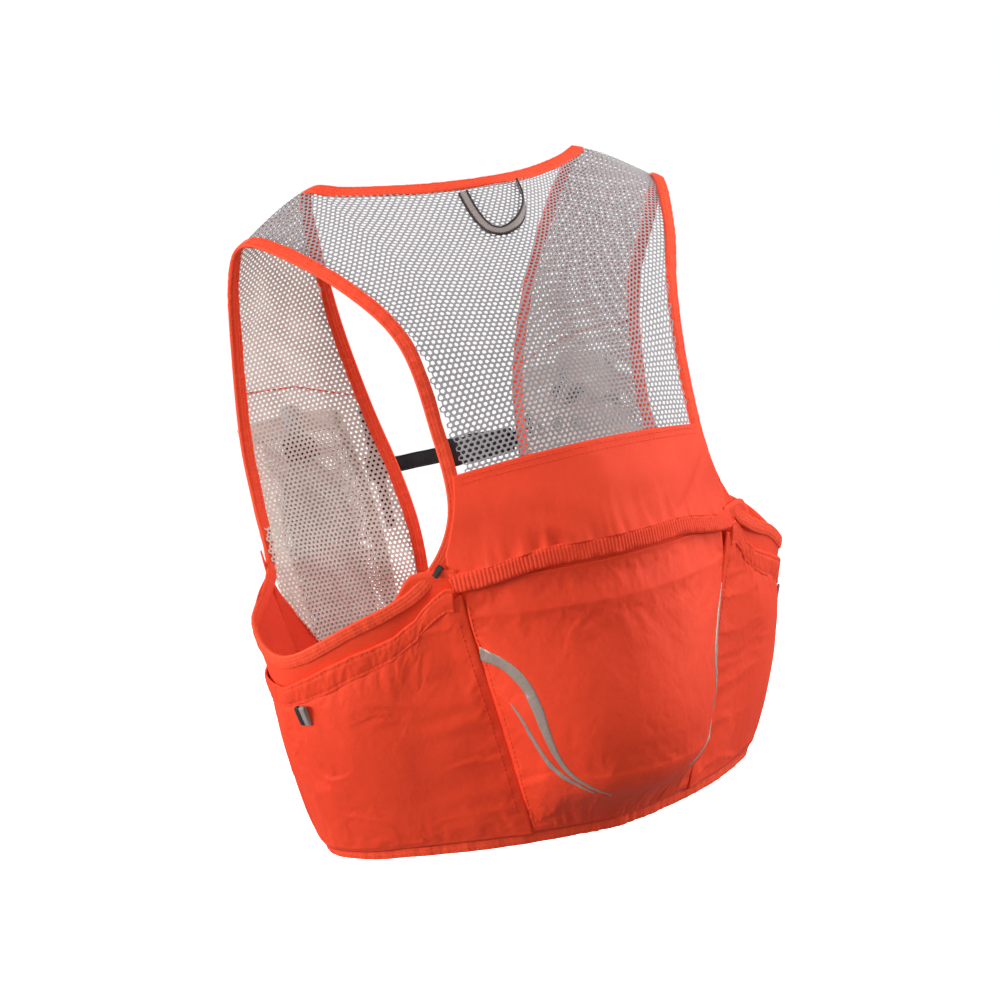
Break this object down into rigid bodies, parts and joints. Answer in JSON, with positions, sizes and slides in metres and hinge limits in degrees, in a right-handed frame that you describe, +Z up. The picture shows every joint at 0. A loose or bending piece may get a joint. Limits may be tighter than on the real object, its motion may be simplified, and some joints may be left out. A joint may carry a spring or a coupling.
{
  "type": "running hydration vest",
  "caption": "Worn-shape running hydration vest with mesh shoulders, orange shell pockets, soft flasks, reservoir and a buckled sternum strap.",
  "frame": {"origin": "on the wearer's mid plane at hem level, on the axis of the torso that carries the vest", "axes": "+Z up, +Y towards the wearer's back, +X towards the wearer's left"},
  "size_m": [0.3512, 0.2565, 0.4061],
  "materials": {
    "mesh_grey": "open knit mesh",
    "mesh_inner": "stretch knit mesh",
    "binding": "elastic binding",
    "shell_orange": "light ripstop weave, soft sheen",
    "reflective": "satin reflective film",
    "flask_film": "translucent film",
    "cap": "moulded",
    "silicone": "silicone",
    "bladder_film": "translucent film",
    "black_plastic": "moulded, fine texture",
    "webbing": "woven nylon",
    "ribbon": "flat woven ribbon with dark edges",
    "dark_tape": "woven tape"
  },
  "bodies": {
    "pack": {"back_inner_panel": "shell_orange", "back_mesh_panel": "mesh_grey", "back_pocket_panel": "shell_orange", "back_yoke_panel": "shell_orange", "hem_band": "binding", "left_armhole_binding": "binding", "left_flask_pocket": "mesh_inner", "left_flask_pocket_binding": "mesh_inner", "left_front_lower_panel": "mesh_inner", "left_front_mesh_strap": "mesh_grey", "left_inner_reflective_strip": "reflective", "left_outer_reflective_strip": "reflective", "left_pocket_corner_tab": "dark_tape", "left_side_panel": "shell_orange", "left_side_pocket_band": "shell_orange", "left_side_pocket_panel": "shell_orange", "left_side_pull_tab": "dark_tape", "left_strap_rail": "webbing", "neck_and_front_edge_binding": "binding", "reservoir_bladder": "bladder_film", "reservoir_slide_closure": "black_plastic", "right_armhole_binding": "binding", "right_flask_pocket": "mesh_inner", "right_flask_pocket_binding": "mesh_inner", "right_front_lower_panel": "mesh_inner", "right_front_mesh_strap": "mesh_grey", "right_inner_reflective_strip": "reflective", "right_outer_reflective_strip": "reflective", "right_side_panel": "shell_orange", "right_side_pocket_band": "shell_orange", "right_side_pocket_panel": "shell_orange", "right_side_pull_tab": "dark_tape", "right_strap_rail": "webbing"},
    "flap": {"pocket_flap": "shell_orange", "pocket_flap_elastic": "binding"},
    "hanger": {"hanger_loop": "ribbon"},
    "sternum_strap": {"left_strap_slider": "black_plastic", "right_strap_slider": "black_plastic", "left_sternum_webbing": "webbing", "right_sternum_webbing": "webbing", "buckle_plug": "black_plastic"},
    "buckle": {"buckle_socket": "black_plastic"},
    "left_flask": {"left_flask_body": "flask_film"},
    "left_cap": {"left_flask_cap": "cap"},
    "left_valve": {"left_flask_bite_valve": "silicone"},
    "right_flask": {"right_flask_body": "flask_film"},
    "right_cap": {"right_flask_cap": "cap"},
    "right_valve": {"right_flask_bite_valve": "silicone"}
  },
  "joints": [
    {"name": "pocket_flap_lift", "type": "hinge", "parent": "pack", "child": "flap", "pos_m": [0, 0.16, 0.196], "axis": [1, 0, 0], "range_deg": [0, 55]},
    {"name": "hanger_loop_swing", "type": "hinge", "parent": "pack", "child": "hanger", "pos_m": [0, 0.0775, 0.3745], "axis": [1, 0, 0], "range_deg": [0, 120]},
    {"name": "sternum_strap_height", "type": "slide", "parent": "pack", "child": "sternum_strap", "axis": [0, -0.1416, 0.9899], "range_m": [-0.025, 0.025]},
    {"name": "buckle_release", "type": "slide", "parent": "sternum_strap", "child": "buckle", "axis": [1, 0, 0], "range_m": [0, 0.014]},
    {"name": "left_flask_lift", "type": "slide", "parent": "pack", "child": "left_flask", "axis": [0.0647, -0.0697, 0.9955], "range_m": [0, 0.16]},
    {"name": "left_cap_turn", "type": "hinge", "parent": "left_flask", "child": "left_cap", "pos_m": [0.09584, -0.06652, 0.236], "axis": [0, 0, 1], "range_deg": [0, 540]},
    {"name": "left_valve_pull", "type": "slide", "parent": "left_cap", "child": "left_valve", "axis": [0.0647, -0.0697, 0.9955], "range_m": [0, 0.004]},
    {"name": "right_flask_lift", "type": "slide", "parent": "pack", "child": "right_flask", "axis": [-0.0647, -0.0697, 0.9955], "range_m": [0, 0.16]},
    {"name": "right_cap_turn", "type": "hinge", "parent": "right_flask", "child": "right_cap", "pos_m": [-0.09584, -0.06652, 0.236], "axis": [0, 0, 1], "range_deg": [0, 540]},
    {"name": "right_valve_pull", "type": "slide", "parent": "right_cap", "child": "right_valve", "axis": [-0.0647, -0.0697, 0.9955], "range_m": [0, 0.004]}
  ]
}
